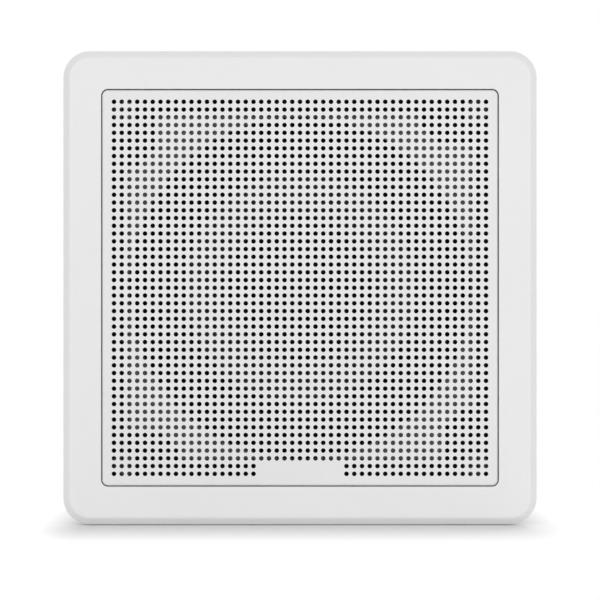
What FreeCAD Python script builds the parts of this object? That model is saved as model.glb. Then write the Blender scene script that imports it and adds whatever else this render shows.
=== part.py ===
import FreeCAD
import Part
import Sketcher
import math
import os
from types import SimpleNamespace

# A square flush-mount loudspeaker with a coaxial driver and four swing-out wall clamps.
# Millimetres. X is to the right and Z up as seen from the room, Y points into the wall.
# The origin is the middle of the wall's face: the frame stands in front of it, the driver behind it.

document = FreeCAD.newDocument("flush_mount_loudspeaker")
sheet = document.addObject("Spreadsheet::Sheet", "dimensions")

SIZES = {
    # voice coil and cone
    "coil_radius": 16.0,
    "former_wall": 0.5,
    "former_lead": 2.0,
    "winding_depth": 1.0,
    "winding_height": 10.0,
    "coil_clearance": 0.6,
    "glue_gap": 0.05,
    "cone_visible_radius": 52.2,
    "cone_lip_width": 4.8,
    "cone_depth": 22.0,
    "cone_thickness": 0.8,
    "cone_flare_radius": 120.0,
    # surround and spider
    "surround_thickness": 0.8,
    "roll_width": 13.0,
    "surround_flange_width": 2.0,
    "spider_drop": 3.0,
    "spider_thickness": 0.8,
    "spider_wave_height": 1.5,
    "spider_rim_inset": 0.5,
    "spider_collar_width": 3.0,
    # basket
    "rim_width": 10.0,
    "rim_overlap": 0.5,
    "basket_sheet": 1.2,
    "landing_width": 5.5,
    "landing_taper": 2.0,
    "motor_drop": 11.0,
    "seat_inset": 0.5,
    "seat_bore_step": 2.4,
    "window_width": 19.0,
    "window_margin": 3.0,
    "window_corner_radius": 3.0,
    "driver_gasket_thickness": 1.0,
    "driver_gasket_inset": 0.5,
    "driver_gasket_gap": 0.3,
    "driver_screw_radius": 1.75,
    "driver_screw_head_radius": 3.5,
    "driver_screw_head_height": 2.4,
    "driver_screw_inset": 4.0,
    "driver_screw_bite": 2.5,
    "driver_screw_clearance": 0.3,
    # motor
    "top_plate_radius": 40.0,
    "top_plate_thickness": 5.0,
    "magnet_overhang": 4.0,
    "magnet_bore_step": 4.4,
    "magnet_thickness": 14.0,
    "yoke_inset": 4.0,
    "yoke_thickness": 5.0,
    "yoke_chamfer": 1.5,
    "boot_wall": 1.7,
    "boot_clearance": 0.3,
    "boot_overlap": 3.0,
    "boot_edge_radius": 4.0,
    "boot_rim_width": 5.0,
    "boot_dish_depth": 0.7,
    # tweeter
    "post_radius": 5.0,
    "stud_radius": 3.0,
    "stud_length": 20.0,
    "stud_clearance": 0.1,
    "pod_radius": 32.5,
    "pod_setback": 1.5,
    "pod_depth": 12.5,
    "pod_edge_height": 2.5,
    "pod_edge_chamfer": 0.8,
    "pod_land_width": 5.5,
    "pod_back_radius": 18.0,
    "pod_back_wall": 2.0,
    "throat_radius": 14.5,
    "throat_depth": 3.5,
    "tweeter_clearance": 0.3,
    "tweeter_motor_depth": 5.0,
    "dome_radius": 11.5,
    "dome_height": 4.2,
    "dome_thickness": 0.6,
    # terminals, filter and flexible leads
    "board_width": 36.0,
    "board_height": 14.0,
    "board_thickness": 1.6,
    "board_lap": 4.0,
    "tab_thickness": 0.8,
    "tab_positive_width": 6.3,
    "tab_negative_width": 4.8,
    "tab_spacing": 24.0,
    "tab_root": 9.0,
    "tab_reach": 9.0,
    "tab_point": 1.2,
    "tab_hole_radius": 0.9,
    "capacitor_radius": 4.5,
    "capacitor_length": 14.0,
    "capacitor_edge": 0.8,
    "lead_radius": 0.8,
    "lead_spacing": 12.0,
    "lead_bend_radius": 4.0,
    "lead_inset": 4.0,
    "lead_cone_radius": 36.0,
    "lead_loop_gap": 10.0,
    "lead_end_gap": 0.3,
    # chassis
    "floor_depth": 4.0,
    "floor_thickness": 3.0,
    "driver_opening_clearance": 0.5,
    "collar_clearance": 0.6,
    "collar_wall": 2.4,
    "collar_height": 5.0,
    "tub_margin": 1.0,
    "tub_wall": 3.0,
    "tub_corner_radius": 5.0,
    "flange_thickness": 3.0,
    "ledge_overhang": 0.8,
    "rib_thickness": 2.5,
    # wall clamps
    "clamp_inset": 6.0,
    "clamp_screw_radius": 2.0,
    "clamp_head_radius": 5.8,
    "clamp_head_height": 2.8,
    "clamp_head_chamfer": 0.6,
    "clamp_screw_point": 0.8,
    "clamp_screw_tail": 2.0,
    "screw_hole_clearance": 0.3,
    "dog_bore_clearance": 0.05,
    "dog_boss_radius": 6.5,
    "dog_boss_length": 12.0,
    "dog_parked_depth": 44.0,
    "dog_arm_length": 26.0,
    "dog_arm_width": 11.0,
    "dog_arm_thickness": 10.0,
    "dog_tip_thickness": 6.0,
    "dog_toe_length": 5.0,
    "dog_toe_height": 3.0,
    "dog_edge_radius": 1.5,
    "tower_clearance": 0.4,
    "tower_wall": 2.2,
    "tower_cap": 2.4,
    # baffle trim
    "trim_thickness": 2.5,
    "trim_reveal": 2.0,
    "trim_margin": 3.5,
    "trim_corner_radius": 1.0,
    "trim_peg_radius": 1.5,
    "trim_peg_length": 2.5,
    "trim_peg_across": 12.25,
    "trim_peg_down": 6.75,
    "peg_clearance": 0.1,
    "pocket_across": 15.25,
    "pocket_down": 25.75,
    "pocket_chamfer_across": 8.25,
    "pocket_chamfer_down": 10.75,
    # ring over the edge of the baffle trim
    "driver_ring_setback": 0.5,
    "driver_ring_lap": 3.0,
    "driver_ring_fit": 0.1,
    "driver_ring_thickness": 1.5,
    "driver_ring_edge_radius": 0.6,
    # grille
    "grille_gap": 0.45,
    "grille_corner_radius": 2.6,
    "grille_setback": 0.5,
    "grille_sheet": 1.0,
    "grille_depth": 6.0,
    "fold_radius": 1.0,
    "opening_pitch": 14.0,
    "opening_width": 7.1,
    "punch_margin": 5.1,
    "plain_openings": 3,
    # bezel and wall gasket
    "border_width": 17.2,
    "frame_corner_radius": 12.0,
    "frame_bevel": 3.1,
    "frame_edge_radius": 2.0,
    "bezel_height": 8.0,
    "bezel_wall": 2.5,
    "bezel_pin_radius": 1.5,
    "bezel_pin_spread": 60.0,
    "skirt_clearance": 0.3,
    "wall_gasket_thickness": 2.0,
    "wall_gasket_inset": 4.0,
}

for row, (alias, value) in enumerate(SIZES.items(), start=1):
    sheet.set(f"A{row}", alias)
    sheet.set(f"B{row}", str(value))
    sheet.setAlias(f"B{row}", alias)
document.recompute()


class Size:
    """A size of the sheet, or one worked out from such sizes.

    value is what it comes to now, to draw with; text is the expression that keeps it current.
    """

    def __init__(self, value, text):
        self.value = value
        self.text = text

    def __add__(self, other):
        return Size(self.value + amount(other), f"({self.text} + {wording(other)})")

    def __sub__(self, other):
        return Size(self.value - amount(other), f"({self.text} - {wording(other)})")

    def __mul__(self, other):
        return Size(self.value * amount(other), f"({self.text} * {wording(other)})")

    def __truediv__(self, other):
        return Size(self.value / amount(other), f"({self.text} / {wording(other)})")

    def __neg__(self):
        return Size(-self.value, f"(0 - {self.text})")


def amount(size):
    return size.value if isinstance(size, Size) else float(size)


def wording(size):
    return size.text if isinstance(size, Size) else f"({float(size)})"


def whole(size):
    return Size(math.floor(size.value), f"floor({size.text})")


def root(size):
    return Size(math.sqrt(size.value), f"sqrt({size.text})")


def bind(thing, path, size):
    thing.setExpression(path, wording(size))


d = SimpleNamespace(**{alias: Size(value, f"dimensions.{alias}") for alias, value in SIZES.items()})
NONE = Size(0.0, "0")

# Depths behind the wall's face, front to back.
flange_back = -d.wall_gasket_thickness
flange_front = flange_back - d.flange_thickness
bezel_front = flange_back - d.bezel_height
grille_front = bezel_front + d.grille_setback
ledge = grille_front + d.grille_depth
floor_front = d.floor_depth
floor_back = d.floor_depth + d.floor_thickness
rim_front = floor_back + d.driver_gasket_thickness
rim_back = rim_front + d.basket_sheet
neck = rim_front + d.cone_depth
landing = neck + d.spider_drop
landing_back = landing + d.basket_sheet
top_plate_front = landing + d.motor_drop
magnet_front = top_plate_front + d.top_plate_thickness
yoke_front = magnet_front + d.magnet_thickness
yoke_back = yoke_front + d.yoke_thickness
winding_front = top_plate_front + d.top_plate_thickness / 2 - d.winding_height / 2
winding_back = winding_front + d.winding_height
tower_back = d.dog_parked_depth + d.tower_clearance + d.tower_cap

# Radii and half widths, from the driver's axis outwards.
pole_radius = d.coil_radius - d.former_wall - d.coil_clearance
plate_bore = d.coil_radius + d.winding_depth + d.coil_clearance
magnet_radius = d.top_plate_radius + d.magnet_overhang
yoke_radius = magnet_radius - d.yoke_inset
seat_radius = d.top_plate_radius - d.seat_inset
landing_inner = seat_radius + d.landing_taper
landing_outer = landing_inner + d.landing_width
roll_inner = d.cone_visible_radius + d.cone_lip_width
roll_outer = roll_inner + d.roll_width
surround_radius = roll_outer + d.surround_flange_width
rim_inner = roll_outer - d.rim_overlap
rim_radius = surround_radius + d.rim_width
driver_screw_circle = rim_radius - d.driver_screw_inset
driver_opening = surround_radius + d.driver_opening_clearance
trim_opening = driver_opening + d.trim_reveal
trim_half = trim_opening + d.trim_margin
collar_inner = rim_radius + d.collar_clearance
collar_radius = collar_inner + d.collar_wall
tub_inner = collar_radius + d.tub_margin
tub_half = tub_inner + d.tub_wall
recess_half = tub_half + d.ledge_overhang
grille_half = recess_half - d.grille_gap
frame_half = recess_half + d.border_width
flange_half = frame_half - d.bezel_wall - d.skirt_clearance
clamp_offset = tub_inner - d.clamp_inset
pin_offset = (recess_half + frame_half) / 2

pieces = []


def new_body(name):
    body = document.addObject("PartDesign::Body", name)
    body.Label = name
    pieces.append(body)
    return body


def origin_feature(body, role):
    return next(feature for feature in body.Origin.OriginFeatures if feature.Role == role)


def sketch_on(body, plane, name, height=NONE):
    """A sketch on an origin plane of the body, lifted by height along the plane's normal."""
    sketch = body.newObject("Sketcher::SketchObject", name)
    sketch.AttachmentSupport = [(origin_feature(body, plane), "")]
    sketch.MapMode = "FlatFace"
    bind(sketch, "AttachmentOffset.Base.z", height)
    return sketch


def front_sketch(body, name, depth):
    """A sketch seen from the room, X across and Z up, at a depth behind the wall's face."""
    return sketch_on(body, "XZ_Plane", name, -depth)


def point(corner):
    return FreeCAD.Vector(amount(corner[0]), amount(corner[1]), 0)


def hold(sketch, geometry, place, corner):
    """Ties one point of the sketch to its two coordinates."""
    for kind, axis, size in (("DistanceX", -2, corner[0]), ("DistanceY", -1, corner[1])):
        if amount(size) == 0:
            sketch.addConstraint(Sketcher.Constraint("PointOnObject", geometry, place, axis))
            continue
        number = sketch.addConstraint(Sketcher.Constraint(kind, -1, 1, geometry, place, amount(size)))
        bind(sketch, f"Constraints[{number}]", size)


def outline(sketch, corners, arcs=None):
    """A closed outline through the corners.

    arcs gives, by the number of its first corner, each edge that is an arc: its radius and its turn, 1 for
    anticlockwise and -1 for clockwise. A radius of None is a half circle on a level chord.
    """
    arcs = arcs or {}
    ends = []
    for number, corner in enumerate(corners):
        start = point(corner)
        end = point(corners[(number + 1) % len(corners)])
        if number not in arcs:
            ends.append((sketch.addGeometry(Part.LineSegment(start, end), False), 1, 2))
            continue
        radius, turn = arcs[number]
        chord = end - start
        reach = chord.Length / 2 if radius is None else amount(radius)
        rise = math.sqrt(max(reach ** 2 - (chord.Length / 2) ** 2, 0.0))
        across = FreeCAD.Vector(-chord.y, chord.x, 0) * (turn / chord.Length)
        centre = (start + end) * 0.5 + across * rise
        angles = [math.atan2(tip.y - centre.y, tip.x - centre.x) for tip in (start, end)]
        circle = Part.Circle(centre, FreeCAD.Vector(0, 0, 1), reach)
        arc = Part.ArcOfCircle(circle, *(angles if turn > 0 else reversed(angles)))
        geometry = sketch.addGeometry(arc, False)
        ends.append((geometry, 1, 2) if turn > 0 else (geometry, 2, 1))
    for number, (geometry, first, last) in enumerate(ends):
        follower, follower_first, _ = ends[(number + 1) % len(ends)]
        sketch.addConstraint(Sketcher.Constraint("Coincident", geometry, last, follower, follower_first))
        hold(sketch, geometry, first, corners[number])
        if number not in arcs:
            continue
        radius, turn = arcs[number]
        if radius is None:
            level = corners[number][1]
            tie = sketch.addConstraint(Sketcher.Constraint("DistanceY", -1, 1, geometry, 3, amount(level)))
            bind(sketch, f"Constraints[{tie}]", level)
        else:
            tie = sketch.addConstraint(Sketcher.Constraint("Radius", geometry, amount(radius)))
            bind(sketch, f"Constraints[{tie}]", radius)


def rounded_rectangle(sketch, left, right, bottom, top, radius):
    corners = [
        (left + radius, bottom), (right - radius, bottom), (right, bottom + radius), (right, top - radius),
        (right - radius, top), (left + radius, top), (left, top - radius), (left, bottom + radius),
    ]
    outline(sketch, corners, {corner: (radius, 1) for corner in (1, 3, 5, 7)})


def rounded_square(sketch, half, radius):
    rounded_rectangle(sketch, -half, half, -half, half, radius)


def round_outline(sketch, radius, centre=(NONE, NONE)):
    circle = Part.Circle(point(centre), FreeCAD.Vector(0, 0, 1), amount(radius))
    geometry = sketch.addGeometry(circle, False)
    hold(sketch, geometry, 3, centre)
    tie = sketch.addConstraint(Sketcher.Constraint("Radius", geometry, amount(radius)))
    bind(sketch, f"Constraints[{tie}]", radius)


def pad(body, name, sketch, length):
    """Adds the sketch's area, from its plane along the plane's normal: towards the room on a front sketch."""
    feature = body.newObject("PartDesign::Pad", name)
    feature.Profile = sketch
    bind(feature, "Length", length)
    return feature


def cut(body, name, sketch, length=None, to_room=False):
    """Takes the sketch's area away, backwards or towards the room; with no length, right through."""
    feature = body.newObject("PartDesign::Pocket", name)
    feature.Profile = sketch
    feature.Reversed = to_room
    if length is None:
        feature.Type = "ThroughAll"
    else:
        bind(feature, "Length", length)
    return feature


def edges_of(base, wanted):
    """Those edges of the base feature that the test wanted picks."""
    document.recompute()
    return base, [f"Edge{number}" for number, edge in enumerate(base.Shape.Edges, start=1) if wanted(edge)]


def fillet(body, name, base, radius, wanted):
    """Rounds edges of the base feature."""
    picked = edges_of(base, wanted)
    feature = body.newObject("PartDesign::Fillet", name)
    feature.Base = picked
    bind(feature, "Radius", radius)
    return feature


def chamfer(body, name, base, width, wanted):
    """Bevels edges of the base feature at 45 degrees."""
    picked = edges_of(base, wanted)
    feature = body.newObject("PartDesign::Chamfer", name)
    feature.Base = picked
    bind(feature, "Size", width)
    return feature


def lies_at_depth(depth):
    return lambda edge: all(abs(vertex.Y - amount(depth)) < 1e-4 for vertex in edge.Vertexes)


def repeat_round(body, name, features, count):
    """Repeats features at even angles round the driver's axis."""
    document.recompute()
    pattern = body.newObject("PartDesign::PolarPattern", name)
    pattern.Originals = features
    pattern.Axis = (origin_feature(body, "Y_Axis"), [""])
    pattern.Angle = 360
    pattern.Occurrences = count
    body.Tip = pattern
    return pattern


def turned(name, corners, arcs=None, at=None):
    """A solid of revolution: corners are (radius, depth) about an axis along Y, moved to at, (X, Z)."""
    body = new_body(name)
    sketch = sketch_on(body, "XY_Plane", name + "_section")
    outline(sketch, corners, arcs)
    revolution = body.newObject("PartDesign::Revolution", name + "_turning")
    revolution.Profile = sketch
    revolution.ReferenceAxis = (sketch, ["V_Axis"])
    revolution.Angle = 360
    if at is not None:
        bind(body, "Placement.Base.x", at[0])
        bind(body, "Placement.Base.z", at[1])
    return body


def ring(name, inner, outer, front, back):
    return turned(name, [(inner, front), (outer, front), (outer, back), (inner, back)])


# Bezel: a moulded ring with a bevelled outer edge, hollow behind, whose inner wall stands on the flange.
# Eight pins on its back pass through the flange.
bezel = new_body("bezel")
frame_sketch = front_sketch(bezel, "frame_outline", flange_back)
rounded_square(frame_sketch, frame_half, d.frame_corner_radius)
frame_block = pad(bezel, "frame_block", frame_sketch, d.bezel_height)
frame_bevel = chamfer(bezel, "frame_bevel", frame_block, d.frame_bevel, lies_at_depth(bezel_front))
fillet(bezel, "frame_edge", frame_bevel, d.frame_edge_radius, lies_at_depth(bezel_front))
recess_radius = d.grille_corner_radius + d.grille_gap
recess_sketch = front_sketch(bezel, "recess_outline", bezel_front)
rounded_square(recess_sketch, recess_half, recess_radius)
cut(bezel, "recess", recess_sketch)
skirt_half = frame_half - d.bezel_wall
skirt_radius = d.frame_corner_radius - d.bezel_wall
flange_seat_sketch = front_sketch(bezel, "flange_seat_outline", flange_back)
rounded_square(flange_seat_sketch, skirt_half, skirt_radius)
cut(bezel, "flange_seat", flange_seat_sketch, d.flange_thickness, to_room=True)
channel_sketch = front_sketch(bezel, "channel_outline", flange_front)
rounded_square(channel_sketch, skirt_half, skirt_radius)
rounded_square(channel_sketch, recess_half + d.bezel_wall, recess_radius + d.bezel_wall)
cut(bezel, "channel", channel_sketch, d.bezel_height - d.flange_thickness - d.bezel_wall, to_room=True)
pin_places = []
for side in (-1, 1):
    for spread in (-1, 1):
        pin_places.append((pin_offset * side, d.bezel_pin_spread * spread))
        pin_places.append((d.bezel_pin_spread * spread, pin_offset * side))
pin_sketch = front_sketch(bezel, "pin_outlines", flange_back)
for place in pin_places:
    round_outline(pin_sketch, d.bezel_pin_radius, place)
pad(bezel, "pins", pin_sketch, d.bezel_height - d.bezel_wall)

# Grille: a punched steel sheet with its edges folded back, which stand on the chassis ledge.
# Each square opening stands for a block of four by four round holes, with the same open share.
# The middle of the lowest row is left unpunched.
grille = new_body("grille")
sheet_sketch = front_sketch(grille, "grille_outline", ledge)
rounded_square(sheet_sketch, grille_half, d.grille_corner_radius)
grille_block = pad(grille, "grille_block", sheet_sketch, d.grille_depth)
fillet(grille, "fold", grille_block, d.fold_radius, lies_at_depth(grille_front))
inside_sketch = front_sketch(grille, "grille_inside", ledge)
rounded_square(inside_sketch, grille_half - d.grille_sheet, d.grille_corner_radius - d.grille_sheet)
cut(grille, "folded_edges", inside_sketch, d.grille_depth - d.grille_sheet, to_room=True)
opening_count = whole((grille_half * 2 - d.punch_margin * 2) / d.opening_pitch) + 1
field_half = (opening_count - 1) * d.opening_pitch / 2
half_opening = d.opening_width / 2
beside_count = whole((opening_count - d.plain_openings) / 2)


def punch(name, height):
    """One opening at the left end of the row that lies at this height."""
    sketch = front_sketch(grille, name + "_outline", grille_front)
    left = -field_half
    outline(sketch, [
        (left - half_opening, height - half_opening), (left + half_opening, height - half_opening),
        (left + half_opening, height + half_opening), (left - half_opening, height + half_opening),
    ])
    return sketch, cut(grille, name, sketch, d.grille_sheet)


first_sketch, first_opening = punch("first_opening", field_half)
document.recompute()
full_rows = grille.newObject("PartDesign::LinearPattern", "full_rows")
full_rows.Originals = [first_opening]
full_rows.Direction = (first_sketch, ["H_Axis"])
full_rows.Direction2 = (first_sketch, ["V_Axis"])
full_rows.Reversed2 = True
bind(full_rows, "Length", field_half * 2)
bind(full_rows, "Occurrences", opening_count)
bind(full_rows, "Length2", field_half * 2 - d.opening_pitch)
bind(full_rows, "Occurrences2", opening_count - 1)
grille.Tip = full_rows
last_sketch, last_opening = punch("last_row_opening", -field_half)
document.recompute()
last_row = grille.newObject("PartDesign::MultiTransform", "last_row")
last_row.Originals = [last_opening]
run = grille.newObject("PartDesign::LinearPattern", "last_row_run")
run.Direction = (last_sketch, ["H_Axis"])
bind(run, "Length", (beside_count - 1) * d.opening_pitch)
bind(run, "Occurrences", beside_count)
other_side = grille.newObject("PartDesign::Mirrored", "last_row_mirror")
other_side.MirrorPlane = (last_sketch, ["V_Axis"])
last_row.Transformations = [run, other_side]
grille.Tip = last_row

# Chassis: a moulded tub with a flange in front of the wall and a floor behind it that carries the driver.
# Behind each corner a half-open tower guides a clamp, with a cap that steadies the end of its screw.
chassis = new_body("chassis")
flange_sketch = front_sketch(chassis, "flange_outline", flange_back)
rounded_square(flange_sketch, flange_half, skirt_radius - d.skirt_clearance)
pad(chassis, "flange", flange_sketch, d.flange_thickness)
tub_sketch = front_sketch(chassis, "tub_outline", floor_back)
rounded_square(tub_sketch, tub_half, d.tub_corner_radius)
pad(chassis, "tub", tub_sketch, floor_back - flange_back)
ledge_sketch = front_sketch(chassis, "ledge_outline", flange_front)
rounded_square(ledge_sketch, recess_half, recess_radius)
cut(chassis, "ledge", ledge_sketch, ledge - flange_front)
well_sketch = front_sketch(chassis, "well_outline", flange_front)
rounded_square(well_sketch, tub_inner, d.tub_corner_radius - d.tub_wall)
cut(chassis, "well", well_sketch, floor_front - flange_front)
collar_sketch = front_sketch(chassis, "collar_outline", floor_back + d.collar_height)
round_outline(collar_sketch, collar_radius)
round_outline(collar_sketch, collar_inner)
pad(chassis, "collar", collar_sketch, d.collar_height)
opening_sketch = front_sketch(chassis, "driver_opening_outline", flange_front)
round_outline(opening_sketch, driver_opening)
cut(chassis, "driver_opening", opening_sketch, floor_back - flange_front)
pin_hole_sketch = front_sketch(chassis, "pin_hole_outlines", flange_front)
for place in pin_places:
    round_outline(pin_hole_sketch, d.bezel_pin_radius + d.peg_clearance, place)
cut(chassis, "pin_holes", pin_hole_sketch, d.flange_thickness)

screw_axis = (-clamp_offset, clamp_offset)
tower_inner = d.dog_boss_radius + d.tower_clearance
tower_radius = tower_inner + d.tower_wall
arm_side = d.dog_arm_width / 2 + d.tower_clearance
sweep = d.dog_arm_length + d.tower_clearance
tower_sketch = front_sketch(chassis, "tower_outline", tower_back)
round_outline(tower_sketch, tower_radius, screw_axis)
round_outline(tower_sketch, tower_inner, screw_axis)
tower = pad(chassis, "tower", tower_sketch, tower_back - floor_back)
# The corner cut away from the tower is what the arm sweeps, from pointing down to pointing outwards.
sweep_sketch = front_sketch(chassis, "arm_sweep_outline", floor_back)
pivot_x, pivot_z = screw_axis
outline(sweep_sketch, [
    (pivot_x + arm_side, pivot_z - sweep), (pivot_x + arm_side, pivot_z), (pivot_x, pivot_z),
    (pivot_x, pivot_z + arm_side), (pivot_x - sweep, pivot_z + arm_side), (pivot_x - sweep, pivot_z - sweep),
])
arm_sweep = cut(chassis, "arm_sweep", sweep_sketch, tower_back - floor_back)
cap_sketch = front_sketch(chassis, "cap_outline", tower_back)
round_outline(cap_sketch, tower_radius, screw_axis)
cap = pad(chassis, "cap", cap_sketch, d.tower_cap)
hole_sketch = front_sketch(chassis, "clamp_hole_outline", floor_front)
round_outline(hole_sketch, d.clamp_screw_radius + d.screw_hole_clearance, screw_axis)
clamp_hole = cut(chassis, "clamp_hole", hole_sketch, tower_back - floor_front)
# A rib runs along the side from the tower to where it meets the collar.
collar_middle = collar_inner + d.collar_wall / 2
rib_start = pivot_x + tower_inner + d.tower_wall / 2
rib_end = -root(collar_middle * collar_middle - clamp_offset * clamp_offset)
rib_bottom = pivot_z - d.rib_thickness / 2
rib_top = pivot_z + d.rib_thickness / 2
rib_sketch = front_sketch(chassis, "rib_outline", floor_back + d.collar_height)
outline(rib_sketch, [
    (rib_start, rib_bottom), (rib_end, rib_bottom), (rib_end, rib_top), (rib_start, rib_top),
])
rib = pad(chassis, "rib", rib_sketch, d.collar_height)
peg_place = (-trim_half + d.trim_peg_across, clamp_offset - d.pocket_down - d.trim_peg_down)
peg_hole_sketch = front_sketch(chassis, "peg_hole_outline", floor_front)
round_outline(peg_hole_sketch, d.trim_peg_radius + d.peg_clearance, peg_place)
peg_hole = cut(chassis, "peg_hole", peg_hole_sketch, d.floor_thickness)
diagonal = math.sqrt(0.5)
screw_place = driver_screw_circle * diagonal
pilot_sketch = front_sketch(chassis, "pilot_outline", floor_front)
round_outline(pilot_sketch, d.driver_screw_radius + d.peg_clearance, (-screw_place, screw_place))
pilot = cut(chassis, "pilot", pilot_sketch, d.floor_thickness)
repeat_round(chassis, "corners", [tower, arm_sweep, cap, clamp_hole, rib, peg_hole, pilot], 4)

# Baffle trim: a thin moulded plate on the chassis floor, open round the driver.
# Its corners are cut back round the clamps, each turned a quarter from the last, and four pegs locate it.
trim = new_body("baffle_trim")
trim_front = floor_front - d.trim_thickness
trim_sketch = front_sketch(trim, "trim_outline", floor_front)
rounded_square(trim_sketch, trim_half, d.trim_corner_radius)
pad(trim, "trim_plate", trim_sketch, d.trim_thickness)
trim_opening_sketch = front_sketch(trim, "trim_opening_outline", trim_front)
round_outline(trim_opening_sketch, trim_opening)
cut(trim, "trim_opening", trim_opening_sketch)
pocket_sketch = front_sketch(trim, "corner_pocket_outline", trim_front)
pocket_right = d.pocket_across - clamp_offset
pocket_bottom = clamp_offset - d.pocket_down
outside = tub_half
outline(pocket_sketch, [
    (-outside, outside), (-outside, pocket_bottom), (pocket_right - d.pocket_chamfer_across, pocket_bottom),
    (pocket_right, pocket_bottom + d.pocket_chamfer_down), (pocket_right, outside),
])
corner_pocket = cut(trim, "corner_pocket", pocket_sketch)
peg_sketch = front_sketch(trim, "peg_outline", floor_front + d.trim_peg_length)
round_outline(peg_sketch, d.trim_peg_radius, peg_place)
peg = pad(trim, "peg", peg_sketch, d.trim_peg_length)
repeat_round(trim, "trim_corners", [corner_pocket, peg], 4)

# Driver ring: a black moulded ring over the edge of the trim, with a lip that drops into its opening.
ring_inner = driver_opening + d.driver_ring_setback
ring_outer = trim_opening + d.driver_ring_lap
ring_lip = trim_opening - d.driver_ring_fit
ring_front = trim_front - d.driver_ring_thickness
turned("driver_ring", [
    (ring_inner, ring_front), (ring_outer - d.driver_ring_edge_radius, ring_front),
    (ring_outer, ring_front + d.driver_ring_edge_radius), (ring_outer, trim_front), (ring_lip, trim_front),
    (ring_lip, floor_front), (ring_inner, floor_front),
], {1: (d.driver_ring_edge_radius, 1)})

# Wall gasket: a flat foam ring on the back of the flange.
wall_gasket = new_body("wall_gasket")
wall_gasket_sketch = front_sketch(wall_gasket, "wall_gasket_outline", NONE)
edge_inset = d.wall_gasket_inset
rounded_square(wall_gasket_sketch, frame_half - edge_inset, d.frame_corner_radius - edge_inset)
rounded_square(wall_gasket_sketch, recess_half + edge_inset, recess_radius + edge_inset)
pad(wall_gasket, "wall_gasket_ring", wall_gasket_sketch, d.wall_gasket_thickness)

# Driver gasket: a flat ring between the chassis floor and the basket's rim, pierced for the four screws.
driver_gasket = new_body("driver_gasket")
driver_gasket_sketch = front_sketch(driver_gasket, "driver_gasket_outline", rim_front)
round_outline(driver_gasket_sketch, rim_radius - d.driver_gasket_inset)
round_outline(driver_gasket_sketch, surround_radius + d.driver_gasket_gap)
for across in (-1, 1):
    for up in (-1, 1):
        place = (screw_place * across, screw_place * up)
        round_outline(driver_gasket_sketch, d.driver_screw_radius + d.driver_screw_clearance, place)
pad(driver_gasket, "driver_gasket_ring", driver_gasket_sketch, d.driver_gasket_thickness)

# Basket: a pressed steel cone with a flat rim, a landing for the spider and a seat for the motor.
# Eight windows let the air out behind the cone.
gauge = d.basket_sheet
basket_inside = [
    (rim_radius, rim_front), (rim_inner, rim_front), (landing_outer, landing), (landing_inner, landing),
    (seat_radius, top_plate_front - gauge), (plate_bore + d.seat_bore_step, top_plate_front - gauge),
]
basket_outside = [
    (plate_bore + d.seat_bore_step, top_plate_front), (seat_radius + gauge, top_plate_front),
    (landing_inner + gauge, landing_back), (landing_outer + gauge, landing_back),
    (rim_inner + gauge, rim_back), (rim_radius, rim_back),
]
basket = turned("basket", basket_inside + basket_outside)
window_sketch = front_sketch(basket, "window_outline", rim_back)
rounded_rectangle(
    window_sketch, -d.window_width / 2, d.window_width / 2,
    landing_outer + gauge + d.window_margin, rim_inner - d.window_margin, d.window_corner_radius,
)
window = cut(basket, "window", window_sketch, landing - rim_back)
basket_hole_sketch = front_sketch(basket, "driver_screw_hole_outline", rim_front)
basket_hole_radius = d.driver_screw_radius + d.driver_screw_clearance
round_outline(basket_hole_sketch, basket_hole_radius, (screw_place, screw_place))
basket_hole = cut(basket, "driver_screw_hole", basket_hole_sketch, gauge)
repeat_round(basket, "windows", [window], 8)
repeat_round(basket, "driver_screw_holes", [basket_hole], 4)

# Driver screws: four pan heads on the back of the rim, their shanks in the chassis floor.
screw_parts = []
shank_front = floor_back - d.driver_screw_bite
for number, (across, up) in enumerate(((-1, 1), (1, 1), (1, -1), (-1, -1)), start=1):
    halves = []
    for part_name, radius, front, length in (
        ("head", d.driver_screw_head_radius, rim_back, d.driver_screw_head_height),
        ("shank", d.driver_screw_radius, shank_front, rim_back - shank_front),
    ):
        cylinder = document.addObject("Part::Cylinder", f"driver_screw_{part_name}_{number}")
        bind(cylinder, "Radius", radius)
        bind(cylinder, "Height", length)
        cylinder.Placement.Rotation = FreeCAD.Rotation(FreeCAD.Vector(1, 0, 0), -90)
        bind(cylinder, "Placement.Base.x", screw_place * across)
        bind(cylinder, "Placement.Base.y", front)
        bind(cylinder, "Placement.Base.z", screw_place * up)
        halves.append(cylinder)
    screw = document.addObject("Part::Fuse", f"driver_screw_{number}")
    screw.Base, screw.Tool = halves
    screw_parts.append(screw)
driver_screws = document.addObject("Part::Compound", "driver_screws")
driver_screws.Label = "driver_screws"
driver_screws.Links = screw_parts
pieces.append(driver_screws)

# Cone: a thin flared cone with a flat lip outside and a glued neck round the coil former.
neck_radius = d.coil_radius + d.glue_gap
thickness = d.cone_thickness
turned("cone", [
    (roll_inner, rim_front), (d.cone_visible_radius, rim_front), (neck_radius, neck),
    (neck_radius, neck + thickness), (d.cone_visible_radius, rim_front + thickness),
    (roll_inner, rim_front + thickness),
], {1: (d.cone_flare_radius, -1), 3: (d.cone_flare_radius, 1)})

# Surround: a rubber half roll, glued to the cone's lip inside and to the basket's rim outside.
skin = d.surround_thickness
foot = rim_front - skin
turned("surround", [
    (d.cone_visible_radius, foot), (roll_inner, foot), (roll_outer, foot), (surround_radius, foot),
    (surround_radius, rim_front), (roll_outer - skin, rim_front), (roll_outer - skin, foot),
    (roll_inner + skin, foot), (roll_inner + skin, rim_front), (d.cone_visible_radius, rim_front),
], {1: (None, 1), 6: (None, -1)})

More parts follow.
